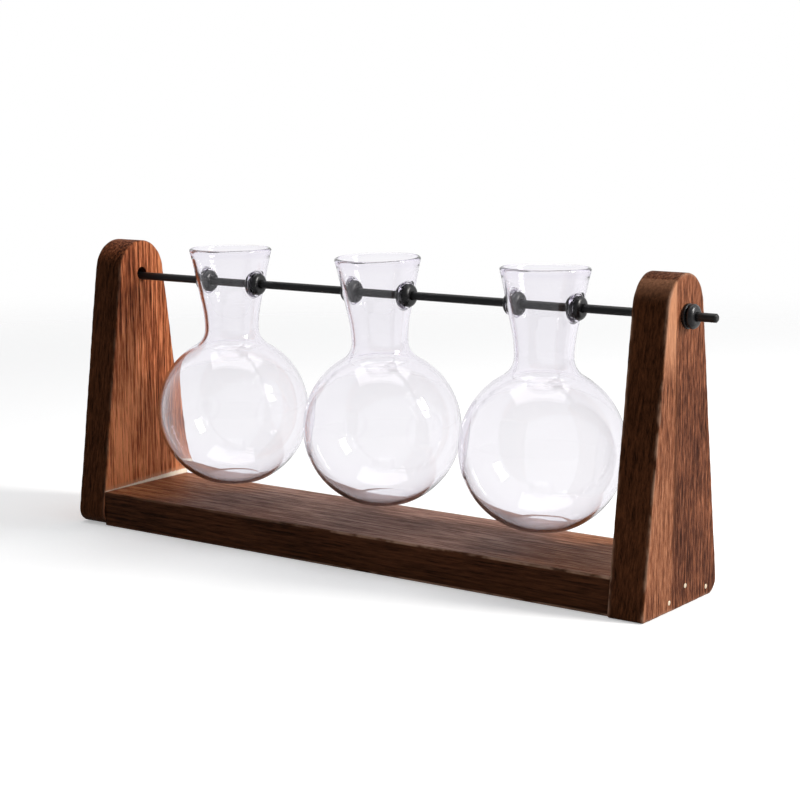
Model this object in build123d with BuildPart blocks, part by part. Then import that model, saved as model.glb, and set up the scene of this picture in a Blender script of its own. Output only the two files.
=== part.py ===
"""Propagation stand: three bulb vases hung on a rod between two wooden end panels.

Lengths are millimetres. X runs along the rod, Y from front to back and Z up. The origin is on the
surface that the stand rests on, half way between the end panels and half way between front and back.
"""

import os
from math import asin, atan2, cos, degrees, hypot, sin, sqrt

from build123d import *

# Stand: two end panels with a board between them
stand_length = 342.0  # over the outer faces of the end panels
panel_thickness = 18.0
panel_above_rod = 18.8  # from the rod's axis to the top
panel_foot_width = 69.6  # between the straight sides, where they meet the ground
panel_foot_radius = 7.0
panel_sharp_foot_radius = 1.5  # front foot of the right panel
panel_top_radius = 16.4
board_thickness = 18.0
edge_easing = 0.8  # worn radius along the arrises

# Brads that hold each end panel to the board
brad_length = 30.0
brad_diameter = 1.3
brad_head_diameter = 2.2
brad_head_thickness = 0.8
brad_tip_length = 0.4
brad_clearance = 0.05
brad_across_shares = (-0.17, 0.06, 0.37)  # of the board's depth
brad_up_shares = (0.24, 0.5, 0.24)  # of the board's thickness

# Rod, lying at the bottom of an oversize hole in each panel
rod_diameter = 4.0
left_rod_overhang = 11.0  # past the left panel's outer face
right_rod_overhang = 15.0  # past the right panel's outer face
rod_end_chamfer = 0.6
panel_hole_diameter = 6.8

# Glass vases
bulb_diameter = 78.0
vase_height = 120.5
neck_diameter = 27.6  # at the narrowest
mouth_diameter = 42.0  # over the bead
rim_bead_diameter = 2.2
neck_wall = 1.9
bulb_wall = 1.1  # thinner, where the glass was blown out
glass_floor = 1.4
base_flattening = 2.5  # cut off the ball by the flat base
base_corner_radius = 6.0
shoulder_radius = 10.0  # hollow curve between ball and neck
flare_blend_share = 0.5  # of the one arc that would reach from neck to mouth
hole_below_rim = 17.6  # rod holes in the neck
collar_thickness = 2.4  # flattened ring of glass round each hole
collar_margin = 0.5  # collar past the grommet's flange
collar_bond = 0.4  # collar run into the neck wall

# Places of the vases: hung clear of the board, loose on the rod in the length that they leave free
vase_lift = 9.3  # from the board's top to the foot of a plumb vase
vase_gap_share = 0.2305  # of the free length, between neighbouring bulbs
row_offset_share = 0.0611  # of the free length, by which the row stands to the right
hang_angles = (0.0, 2.0, -1.0)  # degrees off plumb, foot to the back counted positive

# Rubber grommets in the neck holes and rubber stoppers on the rod's ends
flange_diameter = 11.2
barrel_diameter = 7.6
dome_height = 2.6
dome_lip = 0.4  # straight rim of a domed flange
dome_nose_width = 1.0  # rubber round the bore at the top of a dome
stopper_flange_thickness = 1.6
stopper_groove_width = 1.0

# Clearances
running_clearance = 0.08  # radial, on the rod and in the neck holes
face_clearance = 0.2  # between flat faces that slide past each other
cut_overrun = 3.0

# Heights, stacked up from the surface that the stand rests on
rod_above_base = vase_height - hole_below_rim
rod_height = board_thickness + vase_lift + rod_above_base
panel_height = rod_height + panel_above_rod

# Outline of the end panels: straight sides that touch the round top
foot_half = panel_foot_width / 2
side_rise = panel_height - panel_top_radius
side_slope = atan2(foot_half, side_rise) - asin(panel_top_radius / hypot(foot_half, side_rise))


def half_depth(height):
    """Half the depth of an end panel at a height on its straight sides."""
    return foot_half - height * sin(side_slope) / cos(side_slope)


def foot_place(radius):
    """How far out a foot's rounding is centred, to touch the ground and a straight side."""
    return foot_half - radius * (1 + sin(side_slope)) / cos(side_slope)


board_length = stand_length - 2 * panel_thickness
board_depth = 2 * half_depth(board_thickness)
brad_places = [
    (across * board_depth, up * board_thickness)
    for across, up in zip(brad_across_shares, brad_up_shares)
]

# Rod and bores
rod_radius = rod_diameter / 2
bore_radius = rod_radius + running_clearance
panel_hole_radius = panel_hole_diameter / 2
panel_hole_height = rod_height + panel_hole_radius - rod_radius - running_clearance

# Vase profile, with heights counted from the base
bulb_radius = bulb_diameter / 2
neck_radius = neck_diameter / 2
bead_radius = rim_bead_diameter / 2
bulb_centre = bulb_radius - base_flattening
shoulder_centre = neck_radius + shoulder_radius
shoulder_reach = bulb_radius + shoulder_radius
neck_rise = sqrt(shoulder_reach**2 - shoulder_centre**2)
neck_height = bulb_centre + neck_rise
mouth_height = vase_height - bead_radius
bead_centre = mouth_diameter / 2 - bead_radius
mouth_radius = bead_centre + neck_wall / 2
flare_rise = mouth_height - neck_height
flare_spread = mouth_radius - neck_radius
flare_radius = flare_blend_share * (flare_rise**2 + flare_spread**2) / (2 * flare_spread)
flare_centre = flare_radius - flare_spread  # from the mouth's edge out to the blend's centre
flare_reach = hypot(flare_centre, flare_rise)
flare_tilt = asin(flare_radius / flare_reach) - atan2(flare_centre, flare_rise)
flare_length = sqrt(flare_reach**2 - flare_radius**2)

# Collars and grommets, with places along the rod counted from the vase's axis
rod_below_mouth = mouth_height - rod_above_base
skin_at_rod = mouth_radius - rod_below_mouth * sin(flare_tilt) / cos(flare_tilt)
collar_place = skin_at_rod - neck_wall / 2 / cos(flare_tilt)
flange_radius = flange_diameter / 2
barrel_radius = barrel_diameter / 2
neck_hole_radius = barrel_radius + running_clearance
collar_radius = flange_radius + collar_margin
groove_width = collar_thickness + 2 * face_clearance
nose_radius = bore_radius + dome_nose_width

sides = (("left", -1), ("right", 1))
vase_names = ("left", "middle", "right")
free_length = board_length - len(vase_names) * bulb_diameter
vase_pitch = bulb_diameter + vase_gap_share * free_length
row_offset = row_offset_share * free_length
os.makedirs("parts", exist_ok=True)


def save(builder, label):
    """Label a finished piece and write it to its own file."""
    builder.part.label = label
    export_step(builder.part, f"parts/{label}.step")
    print(label, round(builder.part.volume, 1))


def outward(x, y, z, side):
    """A place whose own Z points along the rod, away from the middle of the stand."""
    return Location((x, y, z), (0, side * 90, 0))


# End panels
for name, side in sides:
    outer_face = side * stand_length / 2
    inner_face = side * board_length / 2
    front_radius = panel_foot_radius if side < 0 else panel_sharp_foot_radius
    with BuildPart() as panel:
        with BuildSketch(Plane.YZ.offset(min(outer_face, inner_face))):
            with Locations((0, panel_height - panel_top_radius)):
                Circle(panel_top_radius)
            with Locations((-foot_place(front_radius), front_radius)):
                Circle(front_radius)
            with Locations((foot_place(panel_foot_radius), panel_foot_radius)):
                Circle(panel_foot_radius)
            make_hull()
        extrude(amount=panel_thickness)
        fillet(panel.faces().filter_by(Axis.X).edges(), edge_easing)
        with Locations(outward(outer_face, 0, panel_hole_height, side)):
            Hole(panel_hole_radius)
        with Locations([outward(outer_face, y, z, side) for y, z in brad_places]):
            CounterBoreHole(
                brad_diameter / 2 + brad_clearance,
                brad_head_diameter / 2 + brad_clearance,
                brad_head_thickness + brad_clearance,
            )
    save(panel, f"{name}_end_panel")

# Base board, level with the panels' sloping edges along its top
with BuildPart() as board:
    with BuildSketch():
        Rectangle(board_length, board_depth)
    extrude(amount=board_thickness)
    fillet(board.edges().filter_by(Axis.X), edge_easing)
    for name, side in sides:
        with Locations([outward(side * board_length / 2, y, z, side) for y, z in brad_places]):
            Hole(brad_diameter / 2 + brad_clearance, brad_length - panel_thickness + brad_clearance)
save(board, "base_board")

# Brads, driven through the panels into the ends of the board
for name, side in sides:
    for place, (y, z) in zip(("front", "middle", "back"), brad_places):
        with BuildPart() as brad:
            with Locations(outward(side * stand_length / 2, y, z, side)):
                Cylinder(
                    brad_head_diameter / 2,
                    brad_head_thickness,
                    align=(Align.CENTER, Align.CENTER, Align.MAX),
                )
                Cylinder(
                    brad_diameter / 2,
                    brad_length,
                    align=(Align.CENTER, Align.CENTER, Align.MAX),
                )
            tip = brad.edges().sort_by(Axis.X)[0 if side > 0 else -1]
            chamfer(tip, brad_tip_length)
        save(brad, f"{name}_{place}_brad")

# Rod
with BuildPart() as rod:
    with BuildSketch(Plane.YZ.offset(-stand_length / 2 - left_rod_overhang)):
        with Locations((0, rod_height)):
            Circle(rod_radius)
    extrude(amount=stand_length + left_rod_overhang + right_rod_overhang)
    chamfer(rod.edges().filter_by(GeomType.CIRCLE), rod_end_chamfer)
save(rod, "hanging_rod")


def dome(start):
    """A domed flange's outline: along the rim, then round to the nose by the bore."""
    rim = Line((start, flange_radius), (start + dome_lip, flange_radius))
    TangentArc(rim @ 1, (start + dome_height, nose_radius), tangent=rim % 1)
    Line((start + dome_height, nose_radius), (start + dome_height, bore_radius))


# Stoppers: a flat flange against the wood, a groove and a dome, pushed on to the rod's ends
for name, side in sides:
    seat = stand_length / 2 + face_clearance
    groove_end = stopper_flange_thickness + stopper_groove_width
    axis_plane = Plane((side * seat, 0, rod_height), x_dir=(side, 0, 0), z_dir=(0, -side, 0))
    with BuildPart() as stopper:
        with BuildSketch(axis_plane):
            with BuildLine():
                dome(groove_end)
                Polyline(
                    (groove_end, flange_radius),
                    (groove_end, barrel_radius),
                    (stopper_flange_thickness, barrel_radius),
                    (stopper_flange_thickness, flange_radius),
                    (0, flange_radius),
                    (0, bore_radius),
                    (groove_end + dome_height, bore_radius),
                )
            make_face()
        revolve(axis=Axis(axis_plane.origin, axis_plane.x_dir))
    save(stopper, f"{name}_rod_stopper")


def draw_vase(bulb_inset, neck_inset, floor, corner_radius, length):
    """Half of the vase's section, set in from its outer skin and standing on a floor above the base.

    The hollow of the shoulder is the arc that touches the ball and also the neck at its narrowest.
    """
    ball = bulb_radius - bulb_inset
    neck = neck_radius - neck_inset
    hollow_radius = (neck**2 + neck_rise**2 - ball**2) / (2 * (ball - neck))
    hollow_tilt = degrees(asin((neck + hollow_radius) / (ball + hollow_radius)))
    drop = bulb_centre - floor
    flat = sqrt((ball - corner_radius) ** 2 - (drop - corner_radius) ** 2)
    turn = degrees(asin(flat / (ball - corner_radius)))
    level = floor - rod_above_base
    bottom = Line((0, level), (flat, level))
    corner = JernArc(bottom @ 1, bottom % 1, corner_radius, turn)
    bulb = JernArc(corner @ 1, corner % 1, ball, 180 - turn - hollow_tilt)
    hollow = JernArc(bulb @ 1, bulb % 1, hollow_radius, hollow_tilt - 90)
    blend = JernArc(hollow @ 1, hollow % 1, flare_radius + neck_inset, -degrees(flare_tilt))
    flare = Line(blend @ 1, blend @ 1 + (blend % 1) * length)
    Polyline(flare @ 1, (0, (flare @ 1).Y), (0, level))


# Vases, each with a grommet in both of its neck holes
for index, name in enumerate(vase_names):
    place = row_offset + (index - 1) * vase_pitch
    hang_plane = Plane((place, 0, rod_height), x_dir=(1, 0, 0), z_dir=(0, -1, 0))
    hang_plane = hang_plane.rotated((hang_angles[index], 0, 0))
    upright = Axis(hang_plane.origin, hang_plane.y_dir)
    collars = [Location((place + side * collar_place, 0, rod_height), (0, 90, 0)) for _, side in sides]
    with BuildPart() as vase:
        with BuildSketch(hang_plane):
            with BuildLine():
                draw_vase(0, 0, 0, base_corner_radius, flare_length)
            make_face()
        revolve(axis=upright)
        with BuildSketch(hang_plane):
            with BuildLine():
                inner_corner = base_corner_radius - glass_floor
                inner_length = flare_length + cut_overrun
                draw_vase(bulb_wall, neck_wall, glass_floor, inner_corner, inner_length)
            make_face()
        revolve(axis=upright, mode=Mode.SUBTRACT)
        with BuildSketch(hang_plane):
            with Locations((bead_centre, mouth_height - rod_above_base)):
                Circle(bead_radius)
        revolve(axis=upright)
        with Locations(collars):
            Cylinder(collar_radius, collar_thickness + 2 * cut_overrun, mode=Mode.SUBTRACT)
            Cylinder(collar_radius + collar_bond, collar_thickness)
            Cylinder(neck_hole_radius, collar_thickness, mode=Mode.SUBTRACT)
    save(vase, f"{name}_glass_vase")

    for hand, side in sides:
        centre = Plane(
            (place + side * collar_place, 0, rod_height), x_dir=(side, 0, 0), z_dir=(0, -side, 0)
        )
        with BuildPart() as grommet:
            with BuildSketch(centre):
                with BuildLine():
                    dome(groove_width / 2)
                    Polyline(
                        (groove_width / 2, flange_radius),
                        (groove_width / 2, barrel_radius),
                        (0, barrel_radius),
                        (0, bore_radius),
                        (groove_width / 2 + dome_height, bore_radius),
                    )
                make_face()
                mirror(about=Plane.YZ)
            revolve(axis=Axis(centre.origin, centre.x_dir))
        save(grommet, f"{name}_vase_{hand}_grommet")
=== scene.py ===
# %% [markdown]
# # A propagation stand with three bulb vases
#
# The object is a small desk stand. Two charred wooden end panels and a board carry a black rod, and
# three blown glass vases hang on the rod by rubber grommets. The solid model of it is loaded as a fixed
# frame: it gives every piece its place and its size. This lesson dresses that frame, piece by piece.
# Lengths are metres, X runs along the rod, Y from front to back and Z up.

import bmesh
import bpy
import numpy as np
from mathutils import Matrix, Vector


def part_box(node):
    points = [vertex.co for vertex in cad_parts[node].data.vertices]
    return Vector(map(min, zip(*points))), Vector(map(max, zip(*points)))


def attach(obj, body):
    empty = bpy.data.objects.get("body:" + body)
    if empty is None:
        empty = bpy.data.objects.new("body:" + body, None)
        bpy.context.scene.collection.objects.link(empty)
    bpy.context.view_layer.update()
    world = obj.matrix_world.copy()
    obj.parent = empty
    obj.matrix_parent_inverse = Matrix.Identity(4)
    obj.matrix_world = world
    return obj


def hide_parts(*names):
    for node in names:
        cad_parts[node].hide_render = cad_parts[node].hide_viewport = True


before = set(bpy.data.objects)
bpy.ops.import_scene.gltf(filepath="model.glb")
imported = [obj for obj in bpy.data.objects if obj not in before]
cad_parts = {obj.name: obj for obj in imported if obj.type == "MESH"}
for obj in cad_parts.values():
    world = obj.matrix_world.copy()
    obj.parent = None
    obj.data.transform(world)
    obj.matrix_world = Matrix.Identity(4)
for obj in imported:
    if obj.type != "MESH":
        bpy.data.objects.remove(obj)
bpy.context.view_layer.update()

# %% [markdown]
# ## The camera
#
# The camera stands in front of the stand's right end, a little above the rod, and looks down along the
# row of vases. A camera is placed here by three unit vectors: right, up and back. They become the
# columns of its matrix, which is easier to follow than three turned angles.

# %% Camera
frame_pixels = 800
focal_pixels = 1899.75
sensor_width = 36.0
view_azimuth = np.radians(36.18)
view_elevation = np.radians(9.4)
view_roll = np.radians(-0.29)
view_distance = 0.93113
look_at = np.array([0.0015, 0.0, 0.075])
aim_right = 0.01245
aim_up = 0.00243
nearest_seen = 0.01

back = np.array([
    np.sin(view_azimuth) * np.cos(view_elevation),
    -np.cos(view_azimuth) * np.cos(view_elevation),
    np.sin(view_elevation),
])
level = np.array([np.cos(view_azimuth), np.sin(view_azimuth), 0.0])
upright = np.cross(back, level)
camera_right = level * np.cos(view_roll) + upright * np.sin(view_roll)
camera_up = upright * np.cos(view_roll) - level * np.sin(view_roll)
camera_place = look_at + back * view_distance + camera_right * aim_right + camera_up * aim_up

camera = bpy.data.objects.new("camera", bpy.data.cameras.new("camera"))
bpy.context.scene.collection.objects.link(camera)
camera.data.sensor_width = sensor_width
camera.data.lens = focal_pixels * sensor_width / frame_pixels
camera.data.clip_start = nearest_seen
pose = np.eye(4)
pose[:3, 0], pose[:3, 1], pose[:3, 2], pose[:3, 3] = camera_right, camera_up, back, camera_place
camera.matrix_world = Matrix(pose.tolist())
bpy.context.scene.camera = camera
bpy.context.scene.view_settings.view_transform = "Standard"
print("camera at", camera_place.round(3), "with a lens of", round(camera.data.lens, 1), "mm")

# %% [markdown]
# ## Node helpers
#
# Every finish below is a small tree of shader nodes. Such a tree can be drawn by hand in the shader
# editor, but written out it is easier to repeat and to compare. A few short helpers keep it readable:
# they add a node, do sums, ease one range into another, blend colours, look a colour up on a ramp, make
# cloudy noise and relief, and start a new material.

# %% Node helpers
def set_inputs(tree, node, inputs):
    """Fill a node's inputs: a value that is another node's socket is linked, any other is set."""
    for key, value in inputs.items():
        if isinstance(value, bpy.types.NodeSocket):
            tree.links.new(value, node.inputs[key])
        else:
            node.inputs[key].default_value = value


def add_node(tree, kind, inputs=None, **settings):
    """Add a node of one kind, with its settings and its inputs."""
    made = tree.nodes.new(kind)
    for key, value in settings.items():
        setattr(made, key, value)
    set_inputs(tree, made, inputs or {})
    return made


def maths(tree, operation, *values):
    """The result of one sum on numbers or sockets."""
    return add_node(tree, "ShaderNodeMath", dict(enumerate(values)), operation=operation).outputs[0]


def remap(tree, value, low, high, to_low=0.0, to_high=1.0):
    """Carry a value from one range to another with an S-shaped ease, held at both ends."""
    inputs = {"Value": value, "From Min": low, "From Max": high, "To Min": to_low, "To Max": to_high}
    return add_node(tree, "ShaderNodeMapRange", inputs, interpolation_type="SMOOTHSTEP").outputs[0]


def mix_colours(tree, share, first, second):
    """Blend from a colour to another by a share; the second is a socket or (red, green, blue)."""
    second = second if isinstance(second, bpy.types.NodeSocket) else (*second, 1.0)
    inputs = {0: share, 6: first, 7: second}
    return add_node(tree, "ShaderNodeMix", inputs, data_type="RGBA").outputs[2]


def ramp(tree, value, stops):
    """A colour for each value, by (place, colour) stops in rising order."""
    made = add_node(tree, "ShaderNodeValToRGB", {"Fac": value})
    elements = made.color_ramp.elements
    for place, _ in stops[1:-1]:
        elements.new(place)
    for element, (place, colour) in zip(elements, stops):
        element.position = place
        element.color = (*colour, 1.0)
    return made.outputs["Color"]


def noise(tree, place, scale, detail=4.0, roughness=0.55):
    """Cloudy noise from 0 to 1, its grain set by a scale along each of the three axes."""
    stretched = add_node(tree, "ShaderNodeMapping", {"Vector": place, "Scale": scale}).outputs[0]
    inputs = {"Vector": stretched, "Scale": 1.0, "Detail": detail, "Roughness": roughness}
    return add_node(tree, "ShaderNodeTexNoise", inputs).outputs["Fac"]


def object_place(tree):
    """Where a point lies in its object, which is also where it lies in the frame."""
    return add_node(tree, "ShaderNodeTexCoord").outputs["Object"]


def relief(tree, height, strength, depth):
    """A normal that leans as if the surface rose and fell with a height, up to a depth."""
    inputs = {"Height": height, "Strength": strength, "Distance": depth}
    return add_node(tree, "ShaderNodeBump", inputs).outputs[0]


def new_finish(name):
    """A material with a bare Principled shader: (material, its tree, the shader, the output)."""
    material = bpy.data.materials.new(name)
    material.use_nodes = True
    tree = material.node_tree
    tree.nodes.clear()
    shader = add_node(tree, "ShaderNodeBsdfPrincipled")
    output = add_node(tree, "ShaderNodeOutputMaterial", {"Surface": shader.outputs[0]})
    return material, tree, shader, output


print("node helpers ready")

# %% [markdown]
# ## Room, floor and light
#
# A product picture wants a plain pale floor and soft light. The world is white to the eye and straight
# through the glass, but lights the object only gently. Reflections, also those inside the glass, see a
# bright wall at the back and a dim room in front: without a dim side, glass and black parts would be
# veiled in grey.

# %% Room
white = (1.0, 1.0, 1.0, 1.0)
room_colour = (0.95, 0.97, 1.0, 1.0)
room_strength = 0.34
bright_side = (-0.35, 0.93, 0.1)
wall_starts = -0.35
wall_full = 0.55
front_gloss = 0.0
back_gloss = 0.85
front_inside = 0.45
back_inside = 0.95

world = bpy.data.worlds.new("studio")
world.use_nodes = True
bpy.context.scene.world = world
tree = world.node_tree
tree.nodes.clear()
path = add_node(tree, "ShaderNodeLightPath").outputs
bounces = maths(tree, "ADD", path["Glossy Depth"], path["Diffuse Depth"])
mirrored = maths(tree, "MINIMUM", bounces, 1.0)
straight = maths(tree, "MULTIPLY", path["Is Transmission Ray"], maths(tree, "SUBTRACT", 1.0, mirrored))
inside_glass = maths(tree, "MULTIPLY", path["Is Transmission Ray"], mirrored)
seen = maths(tree, "MAXIMUM", path["Is Camera Ray"], straight)
direction = add_node(tree, "ShaderNodeTexCoord").outputs["Generated"]
facing = add_node(tree, "ShaderNodeVectorMath", {0: direction, 1: bright_side}, operation="DOT_PRODUCT")
for rays, front, behind in (
    (path["Is Glossy Ray"], front_gloss, back_gloss),
    (inside_glass, front_inside, back_inside),
):
    wall = remap(tree, facing.outputs["Value"], wall_starts, wall_full, front, behind)
    seen = maths(tree, "MAXIMUM", seen, maths(tree, "MULTIPLY", rays, wall))
room = add_node(tree, "ShaderNodeBackground", {"Color": room_colour, "Strength": room_strength})
bright = add_node(tree, "ShaderNodeBackground", {"Color": white, "Strength": 1.0})
both = add_node(tree, "ShaderNodeMixShader", {0: seen, 1: room.outputs[0], 2: bright.outputs[0]})
add_node(tree, "ShaderNodeOutputWorld", {"Surface": both.outputs[0]})
print("room with its bright wall towards", bright_side)

# %% [markdown]
# The floor fades into the white world, so no horizon shows. A tall lamp on the right, a little behind the
# stand, does most of the work, as a window would. A wide one overhead softens what it leaves dark.

# %% Floor and lamps
floor_size = 6.0
floor_drop = 0.0001
floor_near = 0.45
floor_far = 1.3
floor_colour = (0.86, 0.86, 0.86, 1.0)
floor_lift = 0.33
floor_gloss = 0.3
stand_middle = (0.0, 0.0, 0.07)
window_place = (1.06, 0.33, 0.65)
window_size = (0.28, 0.46)
window_watts = 15.0
window_colour = (1.0, 0.975, 0.94)
top_place = (-0.1, 0.15, 1.35)
top_size = (1.3, 0.8)
top_watts = 5.5
top_colour = (1.0, 1.0, 1.0)

pale_floor, tree, shader, output = new_finish("pale_floor")
path = add_node(tree, "ShaderNodeLightPath").outputs
seen = maths(tree, "MAXIMUM", path["Is Camera Ray"], path["Is Transmission Ray"])
set_inputs(tree, shader, {
    "Base Color": floor_colour,
    "Roughness": 0.9,
    "Specular IOR Level": 0.1,
    "Emission Color": white,
    "Emission Strength": maths(tree, "MULTIPLY", seen, floor_lift),
})
reach = add_node(tree, "ShaderNodeVectorMath", {0: object_place(tree)}, operation="LENGTH")
fade = remap(tree, reach.outputs["Value"], floor_near, floor_far)
fade = maths(tree, "MAXIMUM", fade, maths(tree, "MULTIPLY", path["Is Glossy Ray"], 1.0 - floor_gloss))
clear = add_node(tree, "ShaderNodeBsdfTransparent").outputs[0]
fading = add_node(tree, "ShaderNodeMixShader", {0: fade, 1: shader.outputs[0], 2: clear})
set_inputs(tree, output, {"Surface": fading.outputs[0]})

bpy.ops.mesh.primitive_plane_add(size=floor_size, location=(0.0, 0.0, -floor_drop))
floor = bpy.context.object
floor.name = "floor"
floor.data.materials.append(pale_floor)


def add_lamp(name, place, size, watts, colour):
    """A flat lamp that faces the middle of the stand."""
    lamp = bpy.data.objects.new(name, bpy.data.lights.new(name, "AREA"))
    bpy.context.scene.collection.objects.link(lamp)
    lamp.data.shape = "RECTANGLE"
    lamp.data.size, lamp.data.size_y = size
    lamp.data.energy = watts
    lamp.data.color = colour
    lamp.location = place
    lamp.rotation_mode = "QUATERNION"
    lamp.rotation_quaternion = (Vector(stand_middle) - Vector(place)).to_track_quat("-Z", "Y")


add_lamp("window_lamp", window_place, window_size, window_watts, window_colour)
add_lamp("top_lamp", top_place, top_size, top_watts, top_colour)

# %% [markdown]
# ## Surfaces from grids
#
# Every new piece is a grid of points worked out with numpy. Ready-made cylinders and cubes would be
# quicker, but a grid has its points just where a wall, an arris or a painted value needs them. A grid's
# neighbouring points become quads. Where its edges meet, as round a turned shape, the doubled points are
# merged, so that each piece is one closed skin.

# %% Surface helpers
merge_distance = 2e-7


def cells(numbers):
    """The four corner numbers of each cell of a grid of point numbers."""
    corners = (numbers[:-1, :-1], numbers[1:, :-1], numbers[1:, 1:], numbers[:-1, 1:])
    return np.stack(corners, axis=-1)


def build_piece(name, grids, finish, body, nodes, gaps=None, paint=None):
    """One closed mesh from grids of points.

    Each grid is (rows, columns, 3). gaps maps a grid's number to a mask of the cells to leave out, and
    paint maps a grid's number to a vector for each of its points, kept on the mesh as "finish".
    """
    points, quads, vectors, start = [], [], [], 0
    for number, grid in enumerate(grids):
        rows, columns = grid.shape[:2]
        quad_grid = cells(np.arange(start, start + rows * columns).reshape(rows, columns))
        kept = ~gaps[number] if gaps and number in gaps else np.ones(quad_grid.shape[:2], bool)
        quads.append(quad_grid[kept])
        points.append(grid.reshape(-1, 3))
        if paint:
            vectors.append(paint[number].reshape(-1, 3))
        start += rows * columns
    points, quads = np.concatenate(points), np.concatenate(quads)
    mesh = bpy.data.meshes.new(name)
    mesh.vertices.add(len(points))
    mesh.vertices.foreach_set("co", points.astype(np.float32).ravel())
    mesh.loops.add(quads.size)
    mesh.loops.foreach_set("vertex_index", quads.astype(np.int32).ravel())
    mesh.polygons.add(len(quads))
    mesh.polygons.foreach_set("loop_start", np.arange(0, quads.size, 4, dtype=np.int32))
    mesh.polygons.foreach_set("use_smooth", np.ones(len(quads), bool))
    if paint:
        layer = mesh.attributes.new("finish", "FLOAT_VECTOR", "POINT")
        layer.data.foreach_set("vector", np.concatenate(vectors).astype(np.float32).ravel())
    mesh.update(calc_edges=True)
    mesh.validate()
    work = bmesh.new()
    work.from_mesh(mesh)
    bmesh.ops.remove_doubles(work, verts=work.verts, dist=merge_distance)
    bmesh.ops.delete(work, geom=[v for v in work.verts if not v.link_faces], context="VERTS")
    bmesh.ops.recalc_face_normals(work, faces=work.faces)
    open_edges = sum(not edge.is_manifold for edge in work.edges)
    work.to_mesh(mesh)
    work.free()
    piece = bpy.data.objects.new(name, mesh)
    bpy.context.scene.collection.objects.link(piece)
    mesh.materials.append(finish)
    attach(piece, body)
    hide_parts(*nodes)
    print(name, len(mesh.polygons), "faces,", open_edges, "open edges")


def turned(profile, steps):
    """A profile of (along, radius) points turned about an axis: (along, sideways, upward) on a grid.

    Point (i, j) is (along_i, radius_i cos a_j, radius_i sin a_j), with a_j running once round.
    """
    angle = np.linspace(0.0, 2.0 * np.pi, steps + 1)
    along, radius = profile[:, 0, None], profile[:, 1, None]
    return np.stack([along + 0.0 * angle, radius * np.cos(angle), radius * np.sin(angle)], axis=-1)


def arc(centre, radius, start, end, count):
    """Points on a circle's arc between two angles in degrees."""
    angle = np.radians(np.linspace(start, end, count))
    return np.stack([centre[0] + radius * np.cos(angle), centre[1] + radius * np.sin(angle)], axis=-1)


def ease(value, low, high):
    """An S-shaped step from 0 at low to 1 at high."""
    share = np.clip((value - low) / (high - low), 0.0, 1.0)
    return share * share * (3.0 - 2.0 * share)


print("surface helpers ready")

# %% [markdown]
# ## Charred wood
#
# The stand is softwood, scorched and brushed. Its fibres show as fine streaks along the grain, its year
# rings as broader bands, and the scorch as dark clouds. A flat pattern laid on each face would not meet at
# the arrises, so all of it is noise in the solid wood, stretched along the grain: faces, edges and end
# grain then agree. Three painted values say how each point of the surface was treated: how far it is an
# edge, an arris worn bare, or an inner face.

# %% Wood grain
wander_scale = (26.0, 26.0, 7.0)
cloud_scale = (42.0, 42.0, 17.0)
rub_scale = (160.0, 160.0, 70.0)
streak_scale = 860.0
hair_scale = 2600.0
hairs_per_fibre = 3.2
ring_pitch = 0.0027
ring_wander = 0.007
tone_start = -1.22
streak_weight = 1.9
hair_weight = 1.0
cloud_weight = 0.7
ring_weight = -0.16
dark_roughness = 0.66
pale_roughness = 0.5
fibre_relief = 0.5
fibre_depth = 0.0005


def wood_grain(tree, axes, pith, fibre_length):
    """Places and noises in solid wood whose grain runs along the last of three axes.

    The tone at a point is a weighted sum of streaks, hair-fine fibres, clouds of scorch and year rings,
    which run round a pith line.
    """
    parts = add_node(tree, "ShaderNodeSeparateXYZ", {0: object_place(tree)}).outputs
    across, over, along = (parts["XYZ".index(axis)] for axis in axes)
    place = add_node(tree, "ShaderNodeCombineXYZ", {0: across, 1: over, 2: along}).outputs[0]
    wander = noise(tree, place, wander_scale, detail=2.0)
    first = maths(tree, "POWER", maths(tree, "SUBTRACT", across, pith[0]), 2.0)
    second = maths(tree, "POWER", maths(tree, "SUBTRACT", over, pith[1]), 2.0)
    ring_radius = maths(tree, "SQRT", maths(tree, "ADD", first, second))
    ring_radius = maths(tree, "MULTIPLY_ADD", wander, ring_wander, ring_radius)
    ring = maths(tree, "FRACT", maths(tree, "DIVIDE", ring_radius, ring_pitch))
    streaks = (streak_scale, streak_scale, 1.0 / fibre_length)
    hairs = (hair_scale, hair_scale, hairs_per_fibre / fibre_length)
    streak = noise(tree, place, streaks, detail=5.0, roughness=0.68)
    hair = noise(tree, place, hairs, detail=3.0, roughness=0.6)
    cloud = noise(tree, place, cloud_scale, detail=3.0, roughness=0.5)
    tone = maths(tree, "MULTIPLY_ADD", streak, streak_weight, tone_start)
    tone = maths(tree, "MULTIPLY_ADD", hair, hair_weight, tone)
    tone = maths(tree, "MULTIPLY_ADD", cloud, cloud_weight, tone)
    tone = maths(tree, "MULTIPLY_ADD", ring, ring_weight, tone)
    painted = add_node(tree, "ShaderNodeAttribute", attribute_name="finish").outputs["Vector"]
    edge, worn, inside = add_node(tree, "ShaderNodeSeparateXYZ", {0: painted}).outputs
    return {"over": over, "along": along, "wander": wander, "streak": streak, "hair": hair, "tone": tone,
            "rub": noise(tree, place, rub_scale, detail=3.0), "edge": edge, "worn": worn, "inside": inside}


def finish_wood(tree, shader, grain, colour, face_gloss, edge_gloss):
    """Wire a colour to the shader, with fibres that stand out in gloss and relief, and duller edges."""
    height = maths(tree, "MULTIPLY_ADD", grain["hair"], 0.4, grain["streak"])
    set_inputs(tree, shader, {
        "Base Color": colour,
        "Roughness": remap(tree, grain["tone"], 0.2, 0.8, dark_roughness, pale_roughness),
        "Specular IOR Level": remap(tree, grain["edge"], 0.0, 1.0, face_gloss, edge_gloss),
        "Normal": relief(tree, height, fibre_relief, fibre_depth),
    })


print("wood grain ready, with year rings every", ring_pitch, "m")

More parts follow.
